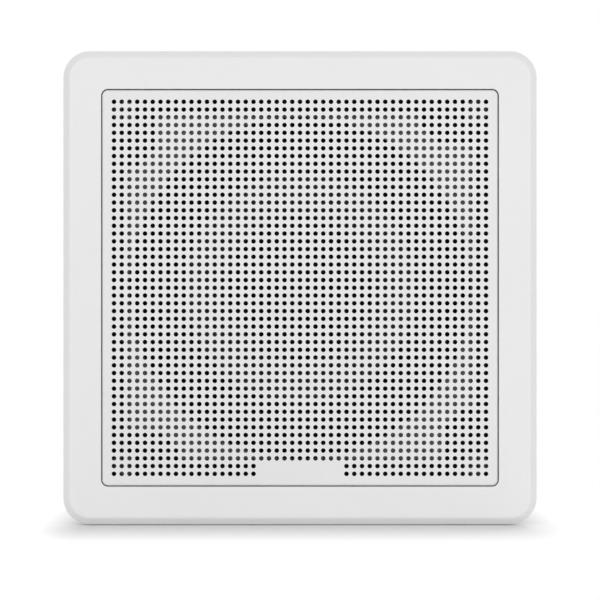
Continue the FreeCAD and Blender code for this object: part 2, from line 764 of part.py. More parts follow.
# Spider: a corrugated cloth disc from the coil former to the basket's landing.
wave_count = 4
spider_inner = neck_radius + d.spider_collar_width
wave = (landing_inner - spider_inner) / wave_count
cloth = d.spider_thickness
ripple = []
for number in range(wave_count):
    ripple.append((spider_inner + wave * (number + 0.25), landing - cloth - d.spider_wave_height))
    ripple.append((spider_inner + wave * (number + 0.75), landing - cloth))
spider_front = [(neck_radius, landing - cloth), (spider_inner, landing - cloth)] + ripple
spider_front += [(landing_inner, landing - cloth), (landing_outer - d.spider_rim_inset, landing - cloth)]
turned("spider", spider_front + [(radius, depth + cloth) for radius, depth in reversed(spider_front)])

# Voice coil: a wound wire on a thin tube, which hangs in the motor's gap.
former_front = neck - d.former_lead
ring("voice_coil_former", d.coil_radius - d.former_wall, d.coil_radius, former_front, winding_back)
ring("voice_coil", neck_radius, d.coil_radius + d.winding_depth, winding_front, winding_back)

# Motor: a ferrite ring between a steel top plate and a yoke with the pole, under a rubber boot.
ring("top_plate", plate_bore, d.top_plate_radius, top_plate_front, magnet_front)
ring("magnet_ring", plate_bore + d.magnet_bore_step, magnet_radius, magnet_front, yoke_front)
stud_bore = d.stud_radius + d.stud_clearance
turned("yoke", [
    (stud_bore, top_plate_front), (pole_radius, top_plate_front), (pole_radius, yoke_front),
    (yoke_radius, yoke_front), (yoke_radius, yoke_back - d.yoke_chamfer),
    (yoke_radius - d.yoke_chamfer, yoke_back), (stud_bore, yoke_back),
])
boot_inner = magnet_radius + d.boot_clearance
boot_radius = boot_inner + d.boot_wall
boot_back = yoke_back + d.boot_wall
boot_front = magnet_front - d.boot_overlap
dish = boot_back - d.boot_dish_depth
dish_radius = boot_radius - d.boot_edge_radius - d.boot_rim_width
turned("magnet_boot", [
    (boot_inner, boot_front), (boot_radius, boot_front), (boot_radius, boot_back - d.boot_edge_radius),
    (boot_radius - d.boot_edge_radius, boot_back), (dish_radius, boot_back),
    (dish_radius - d.boot_dish_depth, dish), (NONE, dish), (NONE, yoke_back), (boot_inner, yoke_back),
], {2: (d.boot_edge_radius, 1)})

# Tweeter: a dome on a small motor in a round pod, which a post carries in front of the cone.
pod_front = d.pod_setback
pod_back = pod_front + d.pod_depth
cavity_back = pod_back - d.pod_back_wall
throat = pod_front + d.throat_depth
pod_edge_back = pod_front + d.pod_edge_height
turned("tweeter_post", [
    (NONE, pod_back), (d.post_radius, pod_back), (d.post_radius, top_plate_front),
    (d.stud_radius, top_plate_front), (d.stud_radius, top_plate_front + d.stud_length),
    (NONE, top_plate_front + d.stud_length),
])
turned("tweeter_pod", [
    (NONE, pod_back), (NONE, cavity_back), (d.throat_radius, cavity_back), (d.throat_radius, throat),
    (d.pod_radius - d.pod_land_width, pod_front), (d.pod_radius - d.pod_edge_chamfer, pod_front),
    (d.pod_radius, pod_front + d.pod_edge_chamfer), (d.pod_radius, pod_edge_back),
    (d.pod_back_radius, pod_back),
])
tweeter_radius = d.throat_radius - d.tweeter_clearance
dome_seat = cavity_back - d.tweeter_motor_depth
turned("tweeter_motor", [
    (NONE, dome_seat), (tweeter_radius, dome_seat), (tweeter_radius, cavity_back), (NONE, cavity_back),
])
dome_foot = dome_seat - d.dome_thickness
dome_top = dome_foot - d.dome_height
dome_curve = (d.dome_height * d.dome_height + d.dome_radius * d.dome_radius) / (d.dome_height * 2)
turned("tweeter_dome", [
    (NONE, dome_top), (d.dome_radius, dome_foot), (tweeter_radius, dome_foot), (tweeter_radius, dome_seat),
    (d.dome_radius, dome_seat), (NONE, dome_top + d.dome_thickness),
], {0: (dome_curve, 1), 4: (dome_curve, -1)})

# Terminals: a board riveted to the back of the basket's landing, with two push-on tabs and the
# tweeter's capacitor on it.
board_top = -(landing_inner + gauge + d.landing_width - d.board_lap)
board_bottom = board_top - d.board_height
board_back = landing_back + d.board_thickness
board = new_body("terminal_board")
board_sketch = front_sketch(board, "board_outline", board_back)
half_board = d.board_width / 2
outline(board_sketch, [
    (-half_board, board_bottom), (half_board, board_bottom),
    (half_board, board_top), (-half_board, board_top),
])
pad(board, "board_plate", board_sketch, d.board_thickness)
for name, side, tab_width in (
    ("terminal_positive", -1, d.tab_positive_width), ("terminal_negative", 1, d.tab_negative_width),
):
    tab = new_body(name)
    tab_sketch = front_sketch(tab, name + "_outline", board_back + d.tab_thickness)
    middle = d.tab_spacing / 2 * side
    tab_top = board_bottom + d.tab_root
    tab_tip = board_bottom - d.tab_reach
    outline(tab_sketch, [
        (middle - tab_width / 2, tab_top), (middle - tab_width / 2, tab_tip + d.tab_point),
        (middle - tab_width / 2 + d.tab_point, tab_tip), (middle + tab_width / 2 - d.tab_point, tab_tip),
        (middle + tab_width / 2, tab_tip + d.tab_point), (middle + tab_width / 2, tab_top),
    ])
    round_outline(tab_sketch, d.tab_hole_radius, (middle, board_bottom - d.tab_reach / 2))
    pad(tab, name + "_blade", tab_sketch, d.tab_thickness)

capacitor = new_body("crossover_capacitor")
capacitor_sketch = sketch_on(capacitor, "YZ_Plane", "capacitor_outline", -d.capacitor_length / 2)
capacitor_axis = (board_back + d.capacitor_radius + d.glue_gap, (board_top + board_bottom) / 2)
round_outline(capacitor_sketch, d.capacitor_radius, capacitor_axis)
can = pad(capacitor, "capacitor_can", capacitor_sketch, d.capacitor_length)


def is_can_edge(edge):
    """The round edge of either end."""
    return edge.Curve.TypeId == "Part::GeomCircle"


fillet(capacitor, "capacitor_edges", can, d.capacitor_edge, is_can_edge)


def cone_back(radius):
    """Depth of the cone's back at a radius, on the arc through its lip and its neck."""
    start = FreeCAD.Vector(d.cone_visible_radius.value, rim_front.value, 0)
    end = FreeCAD.Vector(neck_radius.value, neck.value, 0)
    chord = end - start
    curve = d.cone_flare_radius.value
    away = FreeCAD.Vector(chord.y, -chord.x, 0) * (1 / chord.Length)
    centre = (start + end) * 0.5 + away * math.sqrt(curve ** 2 - (chord.Length / 2) ** 2)
    return centre.y - math.sqrt(curve ** 2 - (radius - centre.x) ** 2) + thickness.value


# Flexible leads: two braided wires from the board, through a window, to the back of the cone.
# Each runs forwards, turns towards the axis and turns forwards again, with slack for the cone's travel.
for name, side in (("lead_positive", -1), ("lead_negative", 1)):
    across = side * d.lead_spacing.value / 2
    outer = (board_bottom + d.lead_inset).value
    inner = -d.lead_cone_radius.value
    loop = landing_back.value - d.lead_loop_gap.value
    end = cone_back(d.lead_cone_radius.value) + d.lead_end_gap.value + d.lead_radius.value
    bend = d.lead_bend_radius.value
    slant = bend * (1 - diagonal)
    route = [
        (landing_back.value, outer), (loop + bend, outer),
        (loop + slant, outer + slant), (loop, outer + bend),
        (loop, inner - bend), (loop - slant, inner - slant), (loop - bend, inner), (end, inner),
    ]
    spots = [FreeCAD.Vector(across, depth, height) for depth, height in route]
    edges = [
        Part.LineSegment(spots[0], spots[1]).toShape(),
        Part.Arc(spots[1], spots[2], spots[3]).toShape(),
        Part.LineSegment(spots[3], spots[4]).toShape(),
        Part.Arc(spots[4], spots[5], spots[6]).toShape(),
        Part.LineSegment(spots[6], spots[7]).toShape(),
    ]
    section = Part.Circle(spots[0], FreeCAD.Vector(0, 1, 0), d.lead_radius.value).toShape()
    lead = document.addObject("Part::Feature", name)
    lead.Label = name
    lead.Shape = Part.Wire(edges).makePipeShell([Part.Wire([section])], True, True)
    pieces.append(lead)

# Wall clamps: in each corner a screw turns in the floor, and a moulded dog rides on it.
# A quarter turn to the right swings the dog out; further turns draw it towards the wall.
dog_front = d.dog_parked_depth - d.dog_boss_length
corners = (("top_left", -1, 1), ("top_right", 1, 1), ("bottom_right", 1, -1), ("bottom_left", -1, -1))
for quarter, (corner, across, up) in enumerate(corners):
    screw_at = (clamp_offset * across, clamp_offset * up)
    head_front = floor_front - d.clamp_head_height
    tip = tower_back + d.clamp_screw_tail
    turned(f"clamp_screw_{corner}", [
        (NONE, head_front), (d.clamp_head_radius - d.clamp_head_chamfer, head_front),
        (d.clamp_head_radius, head_front + d.clamp_head_chamfer), (d.clamp_head_radius, floor_front),
        (d.clamp_screw_radius, floor_front), (d.clamp_screw_radius, tip - d.clamp_screw_point),
        (d.clamp_screw_radius - d.clamp_screw_point, tip), (NONE, tip),
    ], at=screw_at)

    dog = new_body(f"clamp_dog_{corner}")
    arm_sketch = sketch_on(dog, "YZ_Plane", f"dog_arm_outline_{corner}", -d.dog_arm_width / 2)
    arm_front = d.dog_parked_depth - d.dog_arm_thickness
    toe_start = d.dog_arm_length - d.dog_toe_length
    outline(arm_sketch, [
        (d.dog_parked_depth, NONE), (d.dog_parked_depth, -d.dog_boss_radius),
        (arm_front + d.dog_tip_thickness - d.dog_toe_height, -d.dog_arm_length),
        (arm_front - d.dog_toe_height, -d.dog_arm_length), (arm_front - d.dog_toe_height, -toe_start),
        (arm_front, -toe_start + d.dog_toe_height), (arm_front, NONE),
    ])
    arm = pad(dog, f"dog_arm_{corner}", arm_sketch, d.dog_arm_width)

    def is_tip_edge(edge):
        """The two corners at the free end of the arm."""
        return all(abs(vertex.Z + d.dog_arm_length.value) < 1e-4 for vertex in edge.Vertexes) and (
            abs(edge.Vertexes[0].X - edge.Vertexes[-1].X) < 1e-4)

    fillet(dog, f"dog_tip_{corner}", arm, d.dog_edge_radius, is_tip_edge)
    boss_sketch = front_sketch(dog, f"dog_boss_outline_{corner}", d.dog_parked_depth)
    round_outline(boss_sketch, d.dog_boss_radius)
    pad(dog, f"dog_boss_{corner}", boss_sketch, d.dog_boss_length)
    bore_sketch = front_sketch(dog, f"dog_bore_outline_{corner}", dog_front)
    round_outline(bore_sketch, d.clamp_screw_radius + d.dog_bore_clearance)
    cut(dog, f"dog_bore_{corner}", bore_sketch, d.dog_boss_length)
    dog.Placement.Rotation = FreeCAD.Rotation(FreeCAD.Vector(0, 1, 0), 90 * quarter)
    bind(dog, "Placement.Base.x", screw_at[0])
    bind(dog, "Placement.Base.z", screw_at[1])

document.recompute()

failed = [thing.Name for thing in document.Objects if {"Invalid", "Error"} & set(thing.State)]
failed += [piece.Label for piece in pieces if piece.Shape.isNull() or not piece.Shape.isValid()]
if failed:
    raise RuntimeError(f"these did not build: {failed}")

os.makedirs("parts", exist_ok=True)
for piece in pieces:
    piece.Shape.exportStep(f"parts/{piece.Label}.step")
    print(f"{piece.Label}: {len(piece.Shape.Solids)} solid, {piece.Shape.Volume / 1000:.2f} cm3")
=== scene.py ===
import math

import bmesh
import bpy
import numpy as np
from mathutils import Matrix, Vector


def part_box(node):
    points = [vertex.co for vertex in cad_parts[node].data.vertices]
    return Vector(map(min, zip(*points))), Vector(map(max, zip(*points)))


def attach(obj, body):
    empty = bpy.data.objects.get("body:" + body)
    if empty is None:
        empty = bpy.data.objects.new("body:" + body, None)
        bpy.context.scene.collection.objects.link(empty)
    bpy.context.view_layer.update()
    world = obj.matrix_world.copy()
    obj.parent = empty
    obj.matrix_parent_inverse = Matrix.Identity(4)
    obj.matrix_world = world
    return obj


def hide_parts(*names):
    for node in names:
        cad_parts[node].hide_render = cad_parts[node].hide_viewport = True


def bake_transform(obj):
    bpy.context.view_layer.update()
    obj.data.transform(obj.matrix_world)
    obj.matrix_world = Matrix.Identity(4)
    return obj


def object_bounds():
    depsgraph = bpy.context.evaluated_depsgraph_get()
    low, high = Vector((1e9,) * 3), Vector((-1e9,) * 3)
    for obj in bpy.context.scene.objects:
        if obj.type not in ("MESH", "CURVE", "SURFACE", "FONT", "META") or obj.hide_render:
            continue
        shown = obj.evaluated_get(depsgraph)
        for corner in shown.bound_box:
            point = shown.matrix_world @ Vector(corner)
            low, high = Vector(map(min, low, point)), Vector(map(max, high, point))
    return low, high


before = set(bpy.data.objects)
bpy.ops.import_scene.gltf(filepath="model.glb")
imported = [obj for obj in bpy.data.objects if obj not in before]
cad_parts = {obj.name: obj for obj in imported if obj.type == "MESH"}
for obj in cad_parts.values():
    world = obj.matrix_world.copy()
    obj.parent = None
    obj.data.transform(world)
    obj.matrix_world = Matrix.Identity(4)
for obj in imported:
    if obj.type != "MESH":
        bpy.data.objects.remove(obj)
cad_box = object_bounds()

# Chassis: the moulded tub that carries everything, with a flange in front of the wall and four clamp towers
# behind it. Black ABS from a spark-eroded mould, which leaves an even matt grain. The grain of this and the
# other mouldings is drawn about four times its real 0.2 mm, so that it shows.
MM = 0.001


def linear(colour):
    """An sRGB hex colour as linear RGBA: c / 12.92 up to 0.04045, and ((c + 0.055) / 1.055) ^ 2.4 above."""
    channel = np.array([int(colour[place:place + 2], 16) for place in (1, 3, 5)]) / 255
    light = np.where(channel <= 0.04045, channel / 12.92, ((channel + 0.055) / 1.055) ** 2.4)
    return (*light.tolist(), 1.0)


def add(tree, kind, inputs, **settings):
    """Adds one shader node with its settings. Each input takes a value, or a socket that is linked to it."""
    node = tree.nodes.new("ShaderNode" + kind)
    for setting, value in settings.items():
        setattr(node, setting, value)
    for name, value in inputs.items():
        if isinstance(value, bpy.types.NodeSocket):
            tree.links.new(value, node.inputs[name])
        else:
            node.inputs[name].default_value = value
    return node


def new_finish(name):
    """An empty material, its node tree, and the point on the piece in metres."""
    finish = bpy.data.materials.new(name)
    finish.use_nodes = True
    finish.node_tree.nodes.clear()
    place = add(finish.node_tree, "TexCoord", {}).outputs["Object"]
    return finish, finish.node_tree, place


def moulded_plastic(name, colour, shade, grain_mm, roughness, sheen=0.5):
    """Plastic from an etched mould: an even grain of shallow pits over faint clouds of a second shade.
    The more light the grain traps, the lower its sheen, which is 0.5 for a plain surface."""
    cloud_mm, spread = 35, 0.08
    finish, tree, place = new_finish(name)
    cloud = add(tree, "TexNoise", {"Vector": place, "Scale": 1 / (cloud_mm * MM), "Detail": 4.0})
    grain = add(tree, "TexNoise", {"Vector": place, "Scale": 1 / (grain_mm * MM), "Detail": 2.0})
    # A mix of colours has them at inputs 6 and 7, and the mixed one at output 2.
    tint = add(tree, "Mix", {0: cloud.outputs[0], 6: linear(colour), 7: linear(shade)}, data_type="RGBA")
    gloss = add(tree, "MapRange", {
        "Value": grain.outputs[0], "To Min": roughness - spread, "To Max": roughness + spread})
    pits = add(tree, "Bump", {"Height": grain.outputs[0], "Strength": 0.3, "Distance": 0.06 * MM})
    skin = add(tree, "BsdfPrincipled", {
        "Base Color": tint.outputs[2], "Roughness": gloss.outputs[0], "Normal": pits.outputs[0], "IOR": 1.53,
        "Specular IOR Level": sheen})
    add(tree, "OutputMaterial", {"Surface": skin.outputs[0]})
    return finish


def cover(finish, *nodes):
    """Gives CAD nodes a finish all over."""
    for node in nodes:
        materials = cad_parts[node].data.materials
        materials.clear()
        materials.append(finish)


black_abs = moulded_plastic(
    "moulded_black_abs", "#151516", "#1b1b1c", grain_mm=0.9, roughness=0.6, sheen=0.15)
cover(black_abs, "chassis")

# Gaskets: flat rings cut from closed-cell foam sheet, one between the flange and the wall and one under the
# driver's rim. The cut cells make a dull, pitted black, each pit painted darker towards its middle as painted
# shade. The cells are drawn twice their real 0.6 mm to show.
foam, tree, place = new_finish("cut_closed_cell_foam")
cells = add(tree, "TexVoronoi", {"Vector": place, "Scale": 1 / (1.2 * MM)})
pit_depth_and_shade = add(tree, "MapRange", {"Value": cells.outputs["Distance"], "From Max": 0.7})
# Each pit is painted darker towards its middle: painted shade.
tint = add(tree, "Mix", {0: pit_depth_and_shade.outputs[0], 6: linear("#0f0f10"), 7: linear("#2b2b2c")}, data_type="RGBA")
hollows = add(tree, "Bump", {"Height": pit_depth_and_shade.outputs[0], "Strength": 0.6, "Distance": 0.25 * MM})
skin = add(tree, "BsdfPrincipled", {
    "Base Color": tint.outputs[2], "Roughness": 0.95, "Normal": hollows.outputs[0], "IOR": 1.45})
add(tree, "OutputMaterial", {"Surface": skin.outputs[0]})
cover(foam, "wall_gasket", "driver_gasket")

# Basket: pressed steel sheet with eight windows, black from an electrophoretic dip. The dip is smooth and
# satin, with the slight ripple of paint that was baked.
dipped_steel, tree, place = new_finish("dip_coated_pressed_steel")
ripple = add(tree, "TexNoise", {"Vector": place, "Scale": 1 / (2.2 * MM), "Detail": 1.0})
cloud = add(tree, "TexNoise", {"Vector": place, "Scale": 1 / (25 * MM), "Detail": 3.0})
tint = add(tree, "Mix", {0: cloud.outputs[0], 6: linear("#141415"), 7: linear("#1d1d1f")}, data_type="RGBA")
gloss = add(tree, "MapRange", {"Value": cloud.outputs[0], "To Min": 0.3, "To Max": 0.45})
waves = add(tree, "Bump", {"Height": ripple.outputs[0], "Strength": 0.2, "Distance": 0.05 * MM})
skin = add(tree, "BsdfPrincipled", {
    "Base Color": tint.outputs[2], "Roughness": gloss.outputs[0], "Normal": waves.outputs[0], "IOR": 1.5})
add(tree, "OutputMaterial", {"Surface": skin.outputs[0]})
cover(dipped_steel, "basket")

# Motor: a steel top plate and a yoke, zinc plated, clamp a sintered ferrite ring. The tweeter's post and
# motor have the same plating: a pale blue-grey metal with a faint crystal mottle.


def plated_metal(name, colour, shade, mottle_mm, roughness):
    """A plated metal: two shades in patches the size of the plating's mottle, which the roughness follows."""
    spread = 0.1
    finish, tree, place = new_finish(name)
    mottle = add(tree, "TexNoise", {"Vector": place, "Scale": 1 / (mottle_mm * MM), "Detail": 5.0})
    tint = add(tree, "Mix", {0: mottle.outputs[0], 6: linear(colour), 7: linear(shade)}, data_type="RGBA")
    gloss = add(tree, "MapRange", {
        "Value": mottle.outputs[0], "To Min": roughness - spread, "To Max": roughness + spread})
    skin = add(tree, "BsdfPrincipled", {
        "Base Color": tint.outputs[2], "Metallic": 1.0, "Roughness": gloss.outputs[0]})
    add(tree, "OutputMaterial", {"Surface": skin.outputs[0]})
    return finish


zinc_plate = plated_metal("zinc_plated_steel", "#b4b8bd", "#9ea3a8", mottle_mm=3.0, roughness=0.35)
cover(zinc_plate, "top_plate", "yoke", "tweeter_post", "tweeter_motor")

# Ground ferrite is a dull dark grey. Its specks are drawn at 0.8 mm, so that they show.
ferrite, tree, place = new_finish("ground_sintered_ferrite")
speck = add(tree, "TexNoise", {"Vector": place, "Scale": 1 / (0.8 * MM), "Detail": 4.0})
tint = add(tree, "Mix", {0: speck.outputs[0], 6: linear("#2a2a2b"), 7: linear("#3b3b3d")}, data_type="RGBA")
skin = add(tree, "BsdfPrincipled", {"Base Color": tint.outputs[2], "Roughness": 0.6, "IOR": 2.0})
add(tree, "OutputMaterial", {"Surface": skin.outputs[0]})
cover(ferrite, "magnet_ring")

# Magnet boot: a moulded rubber cap pushed over the motor from behind. Dull black, with a bloom of paler grey
# where the rubber's wax has come out.


def moulded_rubber(name, colour, bloom, roughness, sheen=0.5):
    """Rubber from a smooth mould: broad patches of bloom over the base colour, and a fine skin, which is
    drawn at 0.7 mm so that it shows."""
    bloom_mm, skin_mm, spread = 18, 0.7, 0.08
    finish, tree, place = new_finish(name)
    patch = add(tree, "TexNoise", {
        "Vector": place, "Scale": 1 / (bloom_mm * MM), "Detail": 6.0, "Roughness": 0.6})
    fine = add(tree, "TexNoise", {"Vector": place, "Scale": 1 / (skin_mm * MM), "Detail": 2.0})
    tint = add(tree, "Mix", {0: patch.outputs[0], 6: linear(colour), 7: linear(bloom)}, data_type="RGBA")
    gloss = add(tree, "MapRange", {
        "Value": patch.outputs[0], "To Min": roughness - spread, "To Max": roughness + spread})
    pits = add(tree, "Bump", {"Height": fine.outputs[0], "Strength": 0.2, "Distance": 0.04 * MM})
    skin = add(tree, "BsdfPrincipled", {
        "Base Color": tint.outputs[2], "Roughness": gloss.outputs[0], "Normal": pits.outputs[0], "IOR": 1.52,
        "Specular IOR Level": sheen})
    add(tree, "OutputMaterial", {"Surface": skin.outputs[0]})
    return finish


cover(moulded_rubber("boot_rubber_with_bloom", "#161617", "#323233", roughness=0.7), "magnet_boot")

# Voice coil: enamelled copper wire wound in one layer on a rolled aluminium former, which hangs in the
# motor's gap. The turns are 0.5 mm apart along the axis, each painted darker towards the creases between
# turns as painted shade.


def wave_scale(pitch_mm):
    """The scale at which a wave pattern repeats every pitch_mm: at 1 it repeats every 2 pi / 20 metres."""
    return 2 * math.pi / 20 / (pitch_mm * MM)


winding, tree, place = new_finish("enamelled_copper_winding")
turn_height_and_shade = add(tree, "TexWave", {"Vector": place, "Scale": wave_scale(0.5)}, bands_direction="Y")
# The creases between turns are painted dark brown: painted shade.
tint = add(tree, "Mix", {0: turn_height_and_shade.outputs[1], 6: linear("#5c2a14"), 7: linear("#b8683a")}, data_type="RGBA")
round_wire = add(tree, "Bump", {"Height": turn_height_and_shade.outputs[1], "Strength": 0.8, "Distance": 0.2 * MM})
skin = add(tree, "BsdfPrincipled", {
    "Base Color": tint.outputs[2], "Metallic": 1.0, "Roughness": 0.3, "Normal": round_wire.outputs[0]})
add(tree, "OutputMaterial", {"Surface": skin.outputs[0]})
cover(winding, "voice_coil")
cover(plated_metal("rolled_aluminium_foil", "#cfd1d3", "#c2c4c7", mottle_mm=6.0, roughness=0.3),
      "voice_coil_former")

# Spider: a disc of cotton cloth, dipped in resin and pressed hot into rings of waves. It centres the coil:
# glued to the former inside and to the basket's landing outside, it flexes with the cone.


def quads(rows, columns, closed_rows=False, closed_columns=True):
    """The four-sided faces between neighbours of a grid of points that is stored row by row."""
    row, column = np.meshgrid(
        np.arange(rows if closed_rows else rows - 1),
        np.arange(columns if closed_columns else columns - 1), indexing="ij")
    next_row, next_column = (row + 1) % rows, (column + 1) % columns
    corners = [row * columns + column, row * columns + next_column,
               next_row * columns + next_column, next_row * columns + column]
    return np.stack(corners, -1).reshape(-1, 4)


def lathe(profile, columns, at=(0.0, 0.0), closed=True):
    """A profile of (radius, depth) turned about an axis along Y through at: the point at angle a is
    (at X + radius sin a, depth, at Z + radius cos a). A closed profile goes round a section."""
    angle = np.linspace(0, 2 * np.pi, columns, endpoint=False)
    radius, depth = np.asarray(profile, float).T
    points = np.stack([
        at[0] + np.outer(radius, np.sin(angle)),
        np.repeat(depth[:, None], columns, 1),
        at[1] + np.outer(radius, np.cos(angle))], -1)
    return points.reshape(-1, 3), quads(len(radius), columns, closed_rows=closed)


def piece(name, surfaces, finish, sharp_degrees=40):
    """One object from surfaces of (points in mm, faces): doubles are merged, faces turned outwards, and edges
    that turn by less than the sharp angle are shaded round."""
    points, faces, start = [], [], 0
    for surface_points, surface_faces in surfaces:
        points.append(surface_points)
        faces.extend((surface_faces + start).tolist())
        start += len(surface_points)
    mesh = bpy.data.meshes.new(name)
    mesh.from_pydata(np.concatenate(points) * MM, [], faces)
    shape = bmesh.new()
    shape.from_mesh(mesh)
    bmesh.ops.remove_doubles(shape, verts=shape.verts, dist=0.001 * MM)
    bmesh.ops.recalc_face_normals(shape, faces=shape.faces)
    shape.to_mesh(mesh)
    shape.free()
    mesh.shade_smooth()
    mesh.set_sharp_from_angle(angle=math.radians(sharp_degrees))
    mesh.materials.append(finish)
    made = bpy.data.objects.new(name, mesh)
    bpy.context.scene.collection.objects.link(made)
    return made


def flex(made):
    """Bakes a ring's placement into its points and reads the points out; nothing moves them, so the ring does
    not bend."""
    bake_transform(made)
    place = np.empty(len(made.data.vertices) * 3)
    made.data.vertices.foreach_get("co", place)


def box_mm(node):
    """A CAD node's lowest and highest corner in millimetres."""
    low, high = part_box(node)
    return np.array(low) / MM, np.array(high) / MM


low, high = box_mm("spider")
spider_edge, cloth_back = high[0], high[1]
glue, inner_flat, outer_flat = 0.05, 3.0, 5.0
coil_edge = box_mm("voice_coil_former")[1][0] + glue
cloth, wave_height, wave_count = 0.8, 1.5, 4
wave_start, wave_end = coil_edge + inner_flat, spider_edge - outer_flat
radius = np.concatenate([[coil_edge], np.linspace(wave_start, wave_end, 97), [spider_edge]])
turn = 2 * np.pi * wave_count * np.clip((radius - wave_start) / (wave_end - wave_start), 0, 1)
cloth_front = cloth_back - cloth - wave_height * (1 - np.cos(turn)) / 2
section = np.concatenate([
    np.stack([radius, cloth_front], -1), np.stack([radius, cloth_front + cloth], -1)[::-1]])



def plain_weave(tree, place, pitch_mm):
    """The height of a plain weave, from 0 in its hollows to 1 on its threads: a wave along X times one along
    Z."""
    warp = add(tree, "TexWave", {"Vector": place, "Scale": wave_scale(pitch_mm)}, bands_direction="X")
    weft = add(tree, "TexWave", {"Vector": place, "Scale": wave_scale(pitch_mm)}, bands_direction="Z")
    return add(tree, "Math", {0: warp.outputs[1], 1: weft.outputs[1]}, operation="MULTIPLY").outputs[0]


# Plain weave of cotton at 0.9 mm, tan from the phenolic resin, with paler and darker patches of resin 12 mm
# across, and painted shade that darkens the hollows of the weave.
resin_cloth, tree, place = new_finish("resin_dipped_cotton_weave")
weave_height_and_shade = plain_weave(tree, place, pitch_mm=0.9)
stain = add(tree, "TexNoise", {"Vector": place, "Scale": 1 / (12 * MM), "Detail": 3.0})
# The patches are the resin's own stain; the darker hollows of the weave are painted shade.
shade = add(tree, "Math", {0: weave_height_and_shade, 1: stain.outputs[0]}, operation="ADD")
tint = add(tree, "Mix", {0: shade.outputs[0], 6: linear("#7a5a2c"), 7: linear("#c09a56")}, data_type="RGBA")
threads = add(tree, "Bump", {"Height": weave_height_and_shade, "Strength": 0.5, "Distance": 0.2 * MM})
skin = add(tree, "BsdfPrincipled", {
    "Base Color": tint.outputs[2], "Roughness": 0.7, "Normal": threads.outputs[0], "IOR": 1.5})
add(tree, "OutputMaterial", {"Surface": skin.outputs[0]})
spider = piece("spider_waves", [lathe(section, columns=120)], resin_cloth)
flex(spider)
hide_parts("spider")

# Cone: moulded from mica-filled polypropylene, mid grey with a satin skin. Flow from its neck leaves faint
# rings and streaks. The flakes of mica are drawn at 0.6 mm, twice their size, so that they show.
cone_skin, tree, place = new_finish("mica_filled_polypropylene")
rings = add(tree, "TexWave", {
    "Vector": place, "Scale": wave_scale(2.4), "Distortion": 1.5, "Detail": 2.0},
    wave_type="RINGS", rings_direction="Y")
flakes = add(tree, "TexNoise", {"Vector": place, "Scale": 1 / (0.6 * MM), "Detail": 3.0})
mixed = add(tree, "Math", {0: rings.outputs[1], 1: flakes.outputs[0]}, operation="MULTIPLY")
tint = add(tree, "Mix", {0: mixed.outputs[0], 6: linear("#4b4b4d"), 7: linear("#58585b")}, data_type="RGBA")
gloss = add(tree, "MapRange", {"Value": flakes.outputs[0], "To Min": 0.35, "To Max": 0.5})
skin = add(tree, "BsdfPrincipled", {
    "Base Color": tint.outputs[2], "Roughness": gloss.outputs[0], "IOR": 1.49, "Specular IOR Level": 0.3})
add(tree, "OutputMaterial", {"Surface": skin.outputs[0]})
cover(cone_skin, "cone")

# Surround: a half roll of butyl rubber, moulded in one ring and glued to the cone's lip inside and to the
# basket's rim outside, so that the cone can travel.
low, high = box_mm("surround")
surround_edge, foot_back = high[0], high[1]
skin_depth, flange_width, roll_width, lip_inner = 0.8, 2.0, 13.0, 52.2
roll_outer = surround_edge - flange_width
roll_inner = roll_outer - roll_width
roll_middle = (roll_inner + roll_outer) / 2
foot = foot_back - skin_depth
over = np.linspace(np.pi, 0, 33)
arch = np.stack([np.cos(over), -np.sin(over)], -1)
arch_middle = np.array([roll_middle, foot])
outer_roll = arch_middle + roll_width / 2 * arch
inner_roll = arch_middle + (roll_width / 2 - skin_depth) * arch
section = np.concatenate([
    [(lip_inner, foot)], outer_roll, [(surround_edge, foot), (surround_edge, foot_back)],
    [(roll_outer - skin_depth, foot_back)], inner_roll[::-1],
    [(roll_inner + skin_depth, foot_back), (lip_inner, foot_back)]])
butyl = moulded_rubber("moulded_butyl_rubber", "#111112", "#181819", roughness=0.65, sheen=0.14)
surround = piece("surround_roll", [lathe(section, columns=180)], butyl)
flex(surround)
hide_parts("surround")

# Tweeter: a dome of coated silk in a moulded pod, carried in front of the cone. The pod is fine-grained black
# ABS. The silk's weave shows through its coating, and is drawn at 0.7 mm so that it shows; its hollows are
# painted a little darker, as painted shade.
pod_abs = moulded_plastic(
    "moulded_pod_abs", "#0e0e0f", "#121213", grain_mm=0.7, roughness=0.6, sheen=0.1)
cover(pod_abs, "tweeter_pod")
silk, tree, place = new_finish("coated_woven_silk")
weave_height_and_shade = plain_weave(tree, place, pitch_mm=0.7)
# The hollows of the weave are painted a little darker: painted shade.
tint = add(tree, "Mix", {0: weave_height_and_shade, 6: linear("#0d0d0f"), 7: linear("#161618")}, data_type="RGBA")
threads = add(tree, "Bump", {"Height": weave_height_and_shade, "Strength": 0.4, "Distance": 0.1 * MM})
skin = add(tree, "BsdfPrincipled", {
    "Base Color": tint.outputs[2], "Roughness": 0.55, "Normal": threads.outputs[0], "IOR": 1.5,
    "Specular IOR Level": 0.15, "Sheen Weight": 0.03})
add(tree, "OutputMaterial", {"Surface": skin.outputs[0]})
cover(silk, "tweeter_dome")

